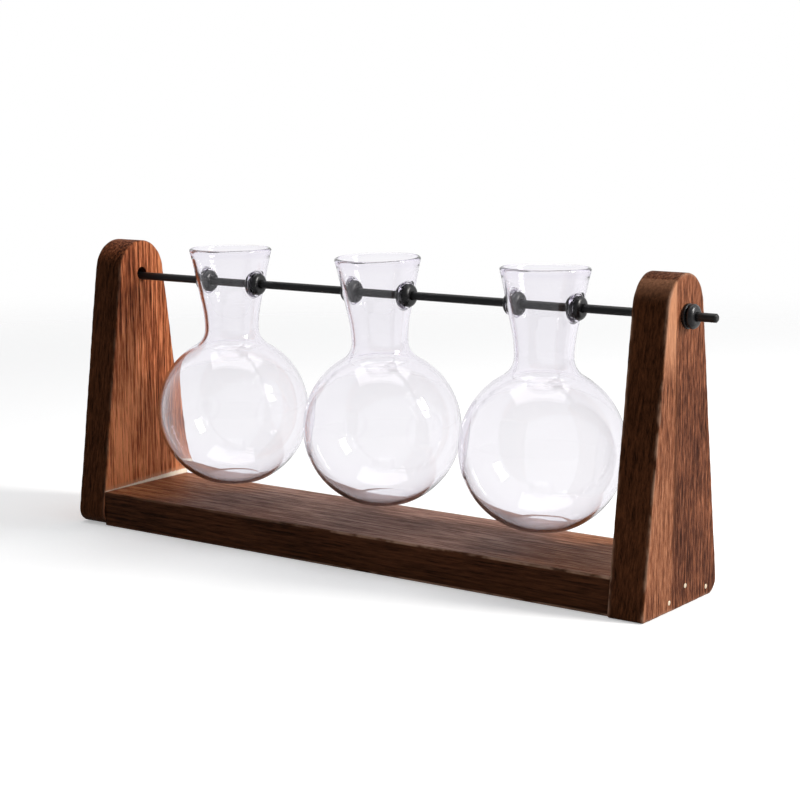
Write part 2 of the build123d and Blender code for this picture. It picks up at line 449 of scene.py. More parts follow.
# %% [markdown]
# The panels differ as two planks do. Where one has long even streaks, the other has short flecks and a
# pale band of sapwood along its front. Each has a short list of zones by height that lift or lower its
# tone. On the left panel these zones are painted light and shade, which lift the lower part of its face;
# on the right panel they only change the tone by height. A strip just above the board stayed raw: the
# board's flame never reached into that corner.

# %% Panel wood
soot = (0.015, 0.0050, 0.0022)
scorch = (0.085, 0.028, 0.011)
scorched_tones = [(0.10, soot), (0.90, scorch)]
worn_wood = (0.42, 0.25, 0.17)
raw_wood = (1.0, 0.92, 0.76)
left_tones = [
    (0.06, (0.028, 0.0072, 0.0029)),
    (0.34, (0.086, 0.0225, 0.0088)),
    (0.60, (0.345, 0.094, 0.036)),
    (0.95, (0.80, 0.300, 0.130)),
]
right_tones = [
    (0.06, (0.026, 0.0075, 0.0038)),
    (0.34, (0.066, 0.021, 0.0105)),
    (0.60, (0.18, 0.060, 0.028)),
    (0.95, (0.38, 0.150, 0.074)),
]
# Painted light and shade: the left zones lift the lower part of that panel, the right zones only shift
# tone.
left_painted_light_zones = [(0.0, 0.20), (0.2, 0.31), (0.42, 0.26), (0.60, 0.07), (0.72, 0.07), (1.0, 0.0)]
right_zones = [(0.0, -0.06), (0.25, -0.04), (0.45, -0.10), (0.70, -0.06), (0.85, 0.03), (1.0, 0.06)]
zone_middle = 0.5
sapwood_tones = [(0.0, (0.055, 0.019, 0.010)), (0.35, (0.195, 0.066, 0.031)), (0.85, (0.46, 0.205, 0.105))]
sapwood_top = (0.66, 0.32, 0.18)
sapwood_edge = -0.0080
sapwood_wander = 0.003
sapwood_blur = 0.0016
sapwood_line_width = 0.005
board_line_blur = 0.0004
strip_front = 0.0003
strip_back = 0.0025
strip_fray = 0.0016
strip_glow = 0.0030

board_low, board_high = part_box("base_board")
panel_low, panel_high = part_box("right_end_panel")


def add_sapwood(tree, grain, tone, share, colour):
    """Lay a pale band in front of the sapwood's edge, and a scorched line behind it at mid height."""
    bent = maths(tree, "MULTIPLY_ADD", grain["wander"], sapwood_wander, grain["over"])
    band = remap(tree, bent, sapwood_edge + sapwood_blur, sapwood_edge)
    pale = ramp(tree, tone, sapwood_tones)
    pale = mix_colours(tree, remap(tree, share, 0.66, 0.84, 0.0, 0.5), pale, sapwood_top)
    colour = mix_colours(tree, maths(tree, "MULTIPLY", band, 0.85), colour, pale)
    line = remap(tree, bent, sapwood_edge + sapwood_line_width, sapwood_edge + sapwood_blur)
    line = maths(tree, "SUBTRACT", line, band)
    line = maths(tree, "MULTIPLY", line, remap(tree, share, 0.80, 0.68))
    line = maths(tree, "MULTIPLY", line, remap(tree, share, 0.14, 0.36, 0.0, 0.6))
    return mix_colours(tree, line, colour, scorch)


def add_raw_strip(tree, grain, inner, colour):
    """Leave the inner face raw just above the board: a frayed strip, wider to the back, with a glow."""
    strip = remap(tree, grain["over"], panel_low.y, panel_high.y, strip_front, strip_back)
    above = maths(tree, "SUBTRACT", grain["along"], board_high.z)
    above = maths(tree, "MULTIPLY_ADD", grain["hair"], strip_fray, above)
    above = maths(tree, "SUBTRACT", maths(tree, "SUBTRACT", above, strip), strip_fray / 2)
    glow = maths(tree, "MULTIPLY", inner, remap(tree, above, strip_glow, 0.0, 0.0, 0.8))
    colour = mix_colours(tree, glow, colour, sapwood_top)
    bare = maths(tree, "MULTIPLY", inner, remap(tree, above, 0.0005, -0.0003))
    return mix_colours(tree, bare, colour, raw_wood)


def panel_wood(name, pith, fibre_length, tones, zones, wear, has_sapwood):
    """Scorched plank with its grain upright; zones are (share of the height, change of tone)."""
    material, tree, shader, _ = new_finish(name)
    grain = wood_grain(tree, "XYZ", pith, fibre_length)
    share = maths(tree, "DIVIDE", grain["along"], panel_high.z)
    # For the left panel this lift by height is painted light and shade.
    lift = ramp(tree, share, [(place, (change + zone_middle,) * 3) for place, change in zones])
    tone = maths(tree, "SUBTRACT", maths(tree, "ADD", grain["tone"], lift), zone_middle)
    colour = ramp(tree, tone, tones)
    if has_sapwood:
        colour = add_sapwood(tree, grain, tone, share, colour)
    under = remap(tree, grain["along"], board_high.z + board_line_blur, board_high.z - board_line_blur)
    covered = maths(tree, "MAXIMUM", grain["edge"], maths(tree, "MULTIPLY", grain["inside"], under))
    colour = mix_colours(tree, covered, colour, ramp(tree, grain["tone"], scorched_tones))
    worn = maths(tree, "MULTIPLY", grain["worn"], remap(tree, grain["rub"], 0.40, 0.60, 0.0, wear))
    colour = mix_colours(tree, worn, colour, worn_wood)
    inner = maths(tree, "MULTIPLY", grain["inside"], maths(tree, "SUBTRACT", 1.0, under))
    colour = add_raw_strip(tree, grain, inner, colour)
    finish_wood(tree, shader, grain, colour, face_gloss=0.06, edge_gloss=0.01)
    return material


left_wood = panel_wood("left_panel_wood", (-0.06, -0.11), 0.028, left_tones, left_painted_light_zones, 0.12, False)
right_wood = panel_wood("right_panel_wood", (0.30, -0.13), 0.012, right_tones, right_zones, 0.4, True)
print("charred wood for both panels")

# %% [markdown]
# The board is greyer along its middle and browner towards both ends. Its front arris is rubbed pale on
# the right half, where a hand takes hold of it.

# %% Board wood
board_tones = [(0.08, (0.075, 0.026, 0.012)), (0.50, (0.225, 0.102, 0.069)), (0.92, (0.49, 0.265, 0.195))]
brown_tones = [(0.08, (0.066, 0.018, 0.005)), (0.50, (0.280, 0.090, 0.033)), (0.92, (0.57, 0.245, 0.105))]
board_pith = (-0.09, -0.05)
board_fibre_length = 0.022
brown_starts = 0.122
brown_full = 0.160
brown_wander = 0.08
rub_starts = -0.06
rub_full = 0.03


def board_wood_finish(name):
    """Scorched board with its grain along X, its tones shifting from brown ends to a greyer middle."""
    material, tree, shader, _ = new_finish(name)
    grain = wood_grain(tree, "ZYX", board_pith, board_fibre_length)
    from_middle = maths(tree, "ABSOLUTE", grain["along"])
    bent = maths(tree, "MULTIPLY_ADD", grain["wander"], brown_wander, from_middle)
    brown = ramp(tree, grain["tone"], brown_tones)
    colour = ramp(tree, grain["tone"], board_tones)
    colour = mix_colours(tree, remap(tree, bent, brown_starts, brown_full), colour, brown)
    colour = mix_colours(tree, grain["edge"], colour, ramp(tree, grain["tone"], scorched_tones))
    rubbed = remap(tree, grain["along"], rub_starts, rub_full, 0.15, 0.7)
    rubbed = maths(tree, "MULTIPLY", rubbed, remap(tree, grain["rub"], 0.36, 0.60))
    colour = mix_colours(tree, maths(tree, "MULTIPLY", grain["worn"], rubbed), colour, worn_wood)
    finish_wood(tree, shader, grain, colour, face_gloss=0.16, edge_gloss=0.03)
    return material


board_wood = board_wood_finish("board_wood")
print("charred wood for the board")

# %% [markdown]
# ## End panels
#
# Each end panel is a plank sawn to a tall tapering shape with a round top and eased feet, and bored for
# the rod. One foot, the right panel's front one, stayed nearly sharp. A bevelled box with a boolean hole
# would be quick, but its arrises would be as even as a machine's. Here the outline comes first. It is the
# tight band round three circles: two feet and the top.

# %% Panel outline
panel_foot_width = 0.0696
panel_top_radius = 0.0164
foot_radii = {"left": (0.007, 0.007), "right": (0.0015, 0.007)}
outline_steps = 520
band_directions = 7201


def band_round_circles(centres, radii, steps):
    """The tight band round circles, in even steps, and the outward normals.

    In each direction the band touches the circle whose centre reaches furthest that way, radius
    included. Those points are then spaced evenly along the band's length.
    """
    angle = np.linspace(0.0, 2.0 * np.pi, band_directions)
    facing = np.stack([np.cos(angle), np.sin(angle)], axis=-1)
    furthest = np.argmax(facing @ centres.T + radii, axis=1)
    touch = centres[furthest] + radii[furthest, None] * facing
    run = np.concatenate([[0.0], np.cumsum(np.linalg.norm(np.diff(touch, axis=0), axis=1))])
    even = np.linspace(0.0, run[-1], steps + 1)
    band = np.stack([np.interp(even, run, touch[:, k]) for k in range(2)], axis=-1)
    ahead = np.roll(band[:-1], -1, axis=0) - np.roll(band[:-1], 1, axis=0)
    ahead = np.concatenate([ahead, ahead[:1]])
    normal = np.stack([ahead[:, 1], -ahead[:, 0]], axis=-1)
    return band, normal / np.linalg.norm(normal, axis=1, keepdims=True)


def panel_outline(height, front, behind):
    """The band round a panel's two feet and its top, by its height and the radii of its feet.

    The straight sides leave the ground at the foot width and touch the top. A foot's circle touches the
    ground and its side, so its centre lies radius * (1 + sin slope) / cos slope in from the side's foot.
    """
    half_foot, side_rise = panel_foot_width / 2, height - panel_top_radius
    slope = np.arctan2(half_foot, side_rise) - np.arcsin(panel_top_radius / np.hypot(half_foot, side_rise))
    inset = (1.0 + np.sin(slope)) / np.cos(slope)
    feet_and_top = np.array([
        [front * inset - half_foot, front],
        [half_foot - behind * inset, behind],
        [0.0, side_rise],
    ])
    return band_round_circles(feet_and_top, np.array([front, behind, panel_top_radius]), outline_steps)


outlines = {name: panel_outline(panel_high.z, *feet) for name, feet in foot_radii.items()}
for name, (band, _) in outlines.items():
    print(name, "panel's outline", np.ptp(band, axis=0).round(4), "m")

# %% [markdown]
# A panel's skin is one grid that closes on itself both ways: round the outline, and from the bore over one
# face, the edge and the other face back to the bore. That leaves no pole and no seam. The arrises are worn
# by uneven amounts, and a shallow ripple follows the grain, as brushing leaves it.

# %% End panels
panel_hole_radius = 0.0034
running_clearance = 0.00008
arris_radius = 0.0008
arris_wear = 0.3
arris_least = 0.5
wear_lengths = (1 / 3, 1 / 8, 1 / 21, 1 / 55)
wear_reach = 0.0003
rim_gaps = [0.0020, 0.0012, 0.0006, 0.0003, 0.0001]
ripple_depth = 0.00007
ripple_fade = 0.003
ripple_lengths = (0.0044, 0.0061, 0.0093, 0.0029)
ripple_bend = 0.0016
ripple_bend_lengths = (0.051, 0.083, 0.031)
# Near the top the edge band's scorch fades: partly browner wood, partly painted light from above.
top_fade_reach = 0.013
top_fade_end = 0.001
face_rows = 60
arris_rows = 7
edge_shares = np.linspace(0.3, 0.7, 9)
bore_shares = np.linspace(0.5, 0.04, 5)

rod_low, rod_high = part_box("hanging_rod")
rod_radius = (rod_high.y - rod_low.y) / 2
rod_height = (rod_high.z + rod_low.z) / 2
panel_hole_height = rod_height + panel_hole_radius - rod_radius - running_clearance


def uneven(values, lengths, seed):
    """A smooth uneven wave between about -1 and 1: sines of the given lengths with chosen phases."""
    phases = np.random.default_rng(seed).uniform(0.0, 2.0 * np.pi, len(lengths))
    waves = [np.sin(2.0 * np.pi * values / length + phase) for length, phase in zip(lengths, phases)]
    return np.mean(waves, axis=0) * 1.5


def grain_ripple(across, along, seed):
    """Brushed ripple: waves across the grain whose crests wander slowly along it."""
    bent = across + ripple_bend * uneven(along, ripple_bend_lengths, seed)
    return uneven(bent, ripple_lengths, seed + 1)


def build_panel(side_name, outward, finish, seed):
    """One end panel on its place, from the bore out over both faces."""
    node = f"{side_name}_end_panel"
    low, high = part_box(node)
    outer, inner = (high.x, low.x) if outward > 0 else (low.x, high.x)
    thickness = high.x - low.x
    band, normal = outlines[side_name]
    wear = 1.0 + arris_wear * uneven(np.linspace(0.0, 1.0, outline_steps + 1), wear_lengths, seed)
    wear = arris_radius * np.clip(wear, arris_least, None)[:, None]
    hub = np.array([0.0, panel_hole_height])
    rim = band - normal * wear
    ray = rim - hub
    ray = ray / np.linalg.norm(ray, axis=1, keepdims=True)
    bore = hub + panel_hole_radius * ray
    rows, paint = [], []

    def add_row(outline, x, edge, worn, inside):
        """Keep one row of points at a place along X, with its painted values."""
        rows.append(np.concatenate([np.broadcast_to(x, (len(outline), 1)), outline], axis=1))
        # Partly painted light: near the top the edge band is less scorched, as if lit from above, and
        # browner.
        lit_browner_top = ease(outline[:, 1], high.z - top_fade_reach, high.z - top_fade_end)
        level_row = np.ones_like(lit_browner_top)
        charred = edge * (1.0 - 0.5 * lit_browner_top)
        paint.append(np.stack([charred, worn * level_row, inside * level_row], axis=-1))

    def add_face(x, outward, inside, order):
        """Rows of a flat face from the bore to the arris, close together near the arris."""
        gap = np.linalg.norm(rim - bore, axis=1, keepdims=True)
        wide = rim_gaps[0] + (gap - rim_gaps[0]) * np.linspace(1.0, 0.0, face_rows)[:-1, None, None]
        narrow = np.broadcast_to(np.array(rim_gaps)[:, None, None], (len(rim_gaps), *gap.shape))
        for gap_left in np.concatenate([wide, narrow])[::order]:
            outline = rim - ray * gap_left
            ripple = ripple_depth * (grain_ripple(outline[:, :1], outline[:, 1:], seed + 5) - 1.0)
            fade = ease(gap_left, 0.0, ripple_fade) * ease(gap - gap_left, 0.0, ripple_fade)
            worn = np.exp(-gap_left.min() / wear_reach)
            add_row(outline, x + outward * ripple * fade, 0.0, worn, inside)

    def add_arris(x, outward, inside, order):
        """Rows of the eased edge, a quarter round between a face and the edge band."""
        for angle in np.radians(np.linspace(0.0, 90.0, arris_rows))[::order]:
            outline = band - normal * wear * (1.0 - np.sin(angle))
            depth = wear * (1.0 - np.cos(angle))
            add_row(outline, x - outward * depth, np.sin(angle), 1.0, inside * (1.0 - np.sin(angle)))

    def add_edge(x, outward, order):
        """Rows of the edge band beside one arris, close together near it."""
        for gap in rim_gaps[::-order]:
            add_row(band, x - outward * (wear + gap), 1.0, np.exp(-gap / wear_reach), 0.0)

    for share in bore_shares:
        add_row(bore, outer - outward * thickness * share, 1.0, 0.0, 0.0)
    add_face(outer, outward, 0.0, 1)
    add_arris(outer, outward, 0.0, 1)
    add_edge(outer, outward, 1)
    for share in edge_shares:
        add_row(band, outer - outward * thickness * share, 1.0, 0.0, 0.0)
    add_edge(inner, -outward, -1)
    add_arris(inner, -outward, 1.0, -1)
    add_face(inner, -outward, 1.0, -1)
    for share in bore_shares[::-1]:
        add_row(bore, inner + outward * thickness * share, 1.0, 0.0, 0.0)
    build_piece(
        f"{side_name}_charred_panel", [np.stack(rows)], finish, "stand", [node],
        paint={0: np.stack(paint)},
    )


build_panel("left", -1, left_wood, 11)
build_panel("right", 1, right_wood, 23)

# %% [markdown]
# ## Base board
#
# The board is a plain planed length between the panels, scorched like them. A cube with a bevel would do
# for its shape, but has too few points to carry the brushed ripple. So a rounded rectangle is carried
# along X. Both ends butt against the panels, and are closed by rings that shrink to a point.

# %% Base board
board_steps = 200
board_side_steps = 30
board_arris_steps = 6
board_top_reach = 0.0002
board_side_reach = 0.0012
board_seed = 41


def rounded_rectangle(half_width, height, radius, side_steps, arris_steps):
    """A rectangle standing on zero with quarter-round corners: its points and a mark for each corner."""
    corners = [
        (half_width - radius, radius, -90.0),
        (half_width - radius, height - radius, 0.0),
        (radius - half_width, height - radius, 90.0),
        (radius - half_width, radius, 180.0),
    ]
    points, marks = [], []
    for number, (y, z, start) in enumerate(corners):
        bend = arc((y, z), radius, start, start + 90.0, arris_steps)
        next_y, next_z, next_start = corners[(number + 1) % 4]
        goal = arc((next_y, next_z), radius, next_start, next_start, 1)[0]
        share = np.linspace(0.0, 1.0, side_steps)[1:-1, None]
        points += [bend, bend[-1] + (goal - bend[-1]) * share]
        marks += [np.ones(len(bend)), np.zeros(len(share))]
    points, marks = np.concatenate(points), np.concatenate(marks)
    return np.concatenate([points, points[:1]]), np.concatenate([marks, marks[:1]])


section, corner_mark = rounded_rectangle(
    board_high.y, board_high.z, arris_radius, board_side_steps, board_arris_steps
)
along = np.linspace(board_low.x, board_high.x, board_steps)
shrink = np.concatenate([[0.0, 0.5], np.ones(board_steps), [0.5, 0.0]])
along = np.concatenate([[along[0]] * 2, along, [along[-1]] * 2])
middle = np.array([0.0, board_high.z / 2])
board_grid = np.empty((len(along), len(section), 3))
board_grid[..., 0] = along[:, None]
board_grid[..., 1:] = middle + (section - middle) * shrink[:, None, None]
is_top = ease(board_grid[..., 2], board_high.z - board_top_reach, board_high.z)
sink = ripple_depth * (grain_ripple(board_grid[..., 1], board_grid[..., 0], board_seed) - 1.0)
board_grid[..., 2] += is_top * sink * (shrink[:, None] == 1.0)
is_front = ease(-board_grid[..., 1], board_high.y - board_side_reach, board_high.y)
is_back = ease(board_grid[..., 1], board_high.y - board_side_reach, board_high.y)
board_paint = np.stack([np.maximum(is_front, is_back), corner_mark * np.ones_like(is_top), is_top], axis=-1)
build_piece(
    "charred_board", [board_grid], board_wood, "stand", ["base_board"],
    paint={0: board_paint},
)

# %% [markdown]
# ## Rod and brads
#
# The rod is drawn steel in satin black. The brads are bright wire nails: all that shows of them is a
# small domed head at the wood's surface. Plain colours would look like plastic, so faint scuffs along the
# rod and a mottle on the heads change their gloss from place to place.

# %% Black steel and bright steel
def satin_black(name):
    """Black lacquer on steel: faint scuffs drawn out along the rod change its gloss."""
    material, tree, shader, _ = new_finish(name)
    place = object_place(tree)
    scuff = noise(tree, place, (60.0, 1500.0, 1500.0))
    speck = noise(tree, place, (900.0, 900.0, 900.0), detail=2.0)
    set_inputs(tree, shader, {
        "Base Color": ramp(tree, scuff, [(0.3, (0.004, 0.004, 0.0045)), (0.8, (0.013, 0.0125, 0.0125))]),
        "Roughness": remap(tree, scuff, 0.3, 0.75, 0.32, 0.46),
        "Specular IOR Level": 0.3,
        "Normal": relief(tree, speck, strength=0.12, depth=0.0002),
    })
    return material


def bright_brad(name):
    """Pale plated wire with a brushed, slightly tarnished head."""
    material, tree, shader, _ = new_finish(name)
    mottle = noise(tree, object_place(tree), (1400.0, 1400.0, 1400.0), detail=3.0)
    set_inputs(tree, shader, {
        "Base Color": ramp(tree, mottle, [(0.25, (0.62, 0.47, 0.30)), (0.7, (0.93, 0.83, 0.66))]),
        "Metallic": 0.55,
        "Roughness": remap(tree, mottle, 0.3, 0.7, 0.5, 0.3),
    })
    return material


black_steel = satin_black("satin_black_steel")
bright_steel = bright_brad("bright_brad_steel")
print("black steel and bright steel ready")

# %% [markdown]
# Rod and brads are round, so each is only a profile turned about an axis. The rod's profile is a long
# straight run with chamfered ends. A brad's is a low dome, a short head, a shank and a point.

# %% Rod and brads
rod_end_chamfer = 0.0006
rod_end_rounding = 0.0002
rod_end_reach = 0.002
rod_steps = 72
rod_rows = 120
brad_shank_radius = 0.00065
brad_head_proud = 0.00022
brad_head_depth = 0.0008
brad_point_length = 0.0004
brad_steps = 32


def rounded_chain(corners, radius, count):
    """An open chain of straight runs whose inner corners are rounded.

    A curve of the second degree stands for each arc. It touches both runs where the arc would, at
    radius / tan(half the angle between them) from the corner, and no further along than near the middle.
    """
    points = [corners[0][None]]
    for before, corner, after in zip(corners[:-2], corners[1:-1], corners[2:]):
        come_length, leave_length = np.linalg.norm(before - corner), np.linalg.norm(after - corner)
        come, leave = (before - corner) / come_length, (after - corner) / leave_length
        half = np.arccos(np.clip(come @ leave, -1.0, 1.0)) / 2
        reach = min(radius / np.tan(half), 0.45 * come_length, 0.45 * leave_length)
        bend = np.linspace(0.0, 1.0, count)[:, None]
        start, end = corner + come * reach, corner + leave * reach
        points.append((1 - bend) ** 2 * start + 2 * bend * (1 - bend) * corner + bend**2 * end)
    points.append(corners[-1][None])
    return np.concatenate(points)


rod_profile = rounded_chain(np.array([
    [rod_low.x, 0.0],
    [rod_low.x, rod_radius - rod_end_chamfer],
    [rod_low.x + rod_end_chamfer, rod_radius],
    [rod_high.x - rod_end_chamfer, rod_radius],
    [rod_high.x, rod_radius - rod_end_chamfer],
    [rod_high.x, 0.0],
]), rod_end_rounding, 5)
along = np.linspace(rod_low.x + rod_end_reach, rod_high.x - rod_end_reach, rod_rows)
middle = np.stack([along, np.full_like(along, rod_radius)], axis=-1)
half = len(rod_profile) // 2
rod_profile = np.concatenate([rod_profile[:half], middle, rod_profile[half:]])
rod_grid = turned(rod_profile, rod_steps) + [0.0, 0.0, rod_height]
build_piece("black_rod", [rod_grid], black_steel, "rod", ["hanging_rod"])

dome_angle = np.linspace(0.0, np.pi / 2, 9)
for side_name, side in (("left", -1), ("right", 1)):
    for place in ("front", "middle", "back"):
        node = f"{side_name}_{place}_brad"
        low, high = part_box(node)
        head, tip = (high.x, low.x) if side > 0 else (low.x, high.x)
        head_radius = (high.y - low.y) / 2
        dome_along = head + side * brad_head_proud * np.cos(dome_angle)
        profile = np.concatenate([
            np.stack([dome_along, head_radius * np.sin(dome_angle)], axis=-1),
            np.array([
                [head - side * brad_head_depth, head_radius],
                [head - side * brad_head_depth, brad_shank_radius],
                [tip + side * brad_point_length, brad_shank_radius],
                [tip, 0.0],
            ]),
        ])
        grid = turned(profile, brad_steps) + [0.0, (low.y + high.y) / 2, (low.z + high.z) / 2]
        build_piece(f"{node}_head", [grid], bright_steel, "stand", [node])

# %% [markdown]
# ## Rubber grommets and stoppers
#
# Each neck hole is bushed with a moulded rubber grommet: a waist that fits the hole, and a domed flange on
# each side of the glass. The stoppers on the rod's ends are cut from the same idea: a flat flange, a
# groove and a dome. Their rubber is nearly black, with a soft gloss that handling has made uneven.

# %% Black rubber
def moulded_rubber(name):
    """Black rubber: a soft gloss, broken by fine mould texture and paler handling marks."""
    material, tree, shader, _ = new_finish(name)
    place = object_place(tree)
    texture = noise(tree, place, (2200.0, 2200.0, 2200.0), detail=3.0)
    marks = noise(tree, place, (260.0, 260.0, 260.0), detail=3.0)
    set_inputs(tree, shader, {
        "Base Color": ramp(tree, marks, [(0.3, (0.0035, 0.0035, 0.004)), (0.8, (0.012, 0.012, 0.0135))]),
        "Roughness": remap(tree, marks, 0.3, 0.7, 0.25, 0.38),
        "Specular IOR Level": 0.4,
        "Normal": relief(tree, texture, strength=0.10, depth=0.0002),
    })
    return material


black_rubber = moulded_rubber("moulded_black_rubber")
print("rubber ready")

# %% [markdown]
# Grommets and stoppers are turned too, about the rod. Their profiles run once round the rubber's section,
# so the bore is part of the skin. One domed flange serves them both.

# %% Grommets and stoppers
flange_radius = 0.0056
barrel_radius = 0.0038
bore_radius = rod_radius + running_clearance
nose_radius = bore_radius + 0.0010
dome_height = 0.0026
dome_lip = 0.0004
seat_rounding = 0.0003
nose_rounding = 0.00025
edge = 0.0004
collar_thickness = 0.0024
face_clearance = 0.0002
stopper_flange_thickness = 0.0016
stopper_groove_width = 0.0010
rubber_steps = 96


def dome_outline(start, count=14):
    """A domed flange from its seat outwards: the seat's edge, a short lip, then round to the nose.

    The dome is a quarter ellipse between the lip and the nose, so it meets both of them smoothly.
    """
    angle = np.linspace(0.0, np.pi / 2, count)
    rise = dome_height - dome_lip
    dome = np.stack([
        start + dome_lip + rise * np.sin(angle),
        nose_radius + (flange_radius - nose_radius) * np.cos(angle),
    ], axis=-1)
    seat = arc((start + seat_rounding, flange_radius - seat_rounding), seat_rounding, 180.0, 90.0, 6)
    nose_centre = (start + dome_height - nose_rounding, bore_radius + nose_rounding)
    return np.concatenate([seat, dome, arc(nose_centre, nose_rounding, 0.0, -90.0, 6)])


groove = collar_thickness + 2 * face_clearance
half = np.concatenate([
    [[0.0, barrel_radius], [groove / 2 - edge, barrel_radius], [groove / 2, barrel_radius + edge]],
    dome_outline(groove / 2),
    [[0.0, bore_radius]],
])
grommet_profile = np.concatenate([half, half[-2:0:-1] * [-1.0, 1.0], half[:1]])
for vase in ("left", "middle", "right"):
    for hand in ("left", "right"):
        node = f"{vase}_vase_{hand}_grommet"
        low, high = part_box(node)
        grid = turned(grommet_profile, rubber_steps) + [(low.x + high.x) / 2, 0.0, rod_height]
        build_piece(f"{node}_rubber", [grid], black_rubber, f"{vase}_grommets", [node])

groove_end = stopper_flange_thickness + stopper_groove_width
stopper_profile = np.concatenate([
    [[0.0, bore_radius], [0.0, flange_radius - edge]],
    arc((edge, flange_radius - edge), edge, 180.0, 90.0, 6),
    arc((stopper_flange_thickness - edge, flange_radius - edge), edge, 90.0, 0.0, 6),
    [[stopper_flange_thickness, barrel_radius + edge], [stopper_flange_thickness + edge, barrel_radius]],
    [[groove_end - edge, barrel_radius], [groove_end, barrel_radius + edge]],
    dome_outline(groove_end),
    [[0.0, bore_radius]],
])
for side_name, side in (("left", -1), ("right", 1)):
    node = f"{side_name}_rod_stopper"
    low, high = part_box(node)
    seat = low.x if side > 0 else high.x
    grid = turned(stopper_profile * [side, 1.0], rubber_steps) + [seat, 0.0, rod_height]
    build_piece(f"{node}_rubber", [grid], black_rubber, f"{side_name}_stopper", [node])

# %% [markdown]
# ## Glass vases
#
# A vase is clear blown glass. A glass shader on a single skin would bend the light as a solid ball does, so
# the wall has to be real, with an outer and an inner skin. The shader itself stays simple: it has no
# colour at the surface, and a faint violet grey in the depth of the wall.

# %% Clear glass
glass_index = 1.48
glass_tint = (0.86, 0.82, 0.92, 1.0)
glass_density = 180.0


def clear_glass(name):
    """Clear blown glass: slow ripples in both skins bend what is seen through it.

    Its tint lies in the glass itself, so it deepens where the eye looks along a wall.
    """
    material, tree, shader, output = new_finish(name)
    ripple = noise(tree, object_place(tree), (55.0, 55.0, 38.0), detail=2.0)
    set_inputs(tree, shader, {
        "Base Color": white,
        "Roughness": 0.0,
        "IOR": glass_index,
        "Transmission Weight": 1.0,
        "Normal": relief(tree, ripple, strength=0.10, depth=0.0008),
    })
    tint = add_node(tree, "ShaderNodeVolumeAbsorption", {"Color": glass_tint, "Density": glass_density})
    set_inputs(tree, output, {"Volume": tint.outputs[0]})
    return material


vase_glass = clear_glass("clear_blown_glass")
print("glass ready")

# %% [markdown]
# The vase is a ball with a flat foot, a hollow shoulder, and a straight flaring neck that ends in a
# fire-polished bead. Its profile runs up the outside, over the bead and down the inside to the floor. It
# could be drawn as a curve and spun, but a chain of arcs gives each stretch its true radius.

# %% Vase profile
vase_low, vase_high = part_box("left_glass_vase")
bulb_radius = (vase_high.x - vase_low.x) / 2
vase_height = vase_high.z - vase_low.z
rod_above_base = rod_height - vase_low.z
neck_radius = 0.0138
mouth_radius = 0.021
bead_radius = 0.0011
bead_swell = 0.0045
lip_wall = 0.0019
neck_wall = 0.0015
bulb_wall = 0.0011
swell_reach = 0.028
glass_floor = 0.0014
base_flattening = 0.0025
base_corner_radius = 0.006
shoulder_radius = 0.010
flare_blend_share = 0.5
window_half_rows = 11
window_half_columns = 18
window_half_height = 0.0097
round_steps = 192
ball_points = 90
hollow_points = 20

bulb_centre = bulb_radius - base_flattening
shoulder_centre = neck_radius + shoulder_radius
shoulder_reach = bulb_radius + shoulder_radius
neck_rise = np.sqrt(shoulder_reach**2 - shoulder_centre**2)
neck_height = bulb_centre + neck_rise
mouth_height = vase_height - bead_radius
bead_centre = mouth_radius - bead_radius
lip_radius = bead_centre + lip_wall / 2
flare_rise = mouth_height - neck_height
flare_spread = lip_radius - neck_radius
flare_radius = flare_blend_share * (flare_rise**2 + flare_spread**2) / (2 * flare_spread)
flare_centre = flare_radius - flare_spread
flare_reach = np.hypot(flare_centre, flare_rise)
flare_tilt = np.arcsin(flare_radius / flare_reach) - np.arctan2(flare_centre, flare_rise)
skin_at_rod = lip_radius - (mouth_height - rod_above_base) * np.tan(flare_tilt)
foot_radius = np.sqrt((bulb_radius - base_corner_radius) ** 2 - (bulb_centre - base_corner_radius) ** 2)
foot_turn = np.degrees(np.arcsin(foot_radius / (bulb_radius - base_corner_radius)))
shoulder_tilt = np.degrees(np.arcsin(shoulder_centre / shoulder_reach))


def skin_profile(foot_wall, ball_wall, high_wall):
    """A skin's (radius, height) points from the foot's middle to the end of its flare's blend.

    A chain of arcs, each starting where the last one ended and in its direction: foot, foot's corner,
    ball, hollow shoulder and flare. The skin lies inside the outermost one by a wall that eases from
    foot_wall to ball_wall up the ball, and from ball_wall to high_wall over the shoulder.
    """
    ball_angle = np.linspace(foot_turn, 180.0 - shoulder_tilt, ball_points)
    ball_run = bulb_radius * np.radians(ball_angle - ball_angle[-1])
    hollow_run = shoulder_radius * np.radians(np.linspace(0.0, 90.0 - shoulder_tilt, hollow_points))

    def wall(run):
        """The wall at a run past the end of the ball."""
        low = foot_wall + (ball_wall - foot_wall) * ease(run, ball_run[0], ball_run[0] + swell_reach)
        return low + (high_wall - ball_wall) * ease(run, -swell_reach, hollow_run[-1])

    foot = np.stack([np.linspace(0.0, foot_radius, 14), np.full(14, foot_wall)], axis=-1)
    bend = base_corner_radius - foot_wall
    corner = arc((foot_radius, base_corner_radius), bend, -90.0, foot_turn - 90.0, 12)
    ball_end = 90.0 - shoulder_tilt
    ball = arc((0.0, bulb_centre), bulb_radius - wall(ball_run), foot_turn - 90.0, ball_end, ball_points)
    shoulder = (shoulder_centre, neck_height)
    hollow = arc(shoulder, shoulder_radius + wall(hollow_run), 180.0 + ball_end, 180.0, hollow_points)
    blend = (neck_radius + flare_radius, neck_height)
    flare = arc(blend, flare_radius + high_wall, 180.0, 180.0 - np.degrees(flare_tilt), 10)
    return np.concatenate([foot, corner[1:], ball[1:], hollow[1:], flare[1:]])


window_rows = np.linspace(-window_half_height, window_half_height, 2 * window_half_rows + 1)
window_rows = rod_above_base + window_rows
rim_start = mouth_height - bead_swell
outer_skin = skin_profile(0.0, 0.0, 0.0)
inner_skin = skin_profile(glass_floor, bulb_wall, neck_wall)


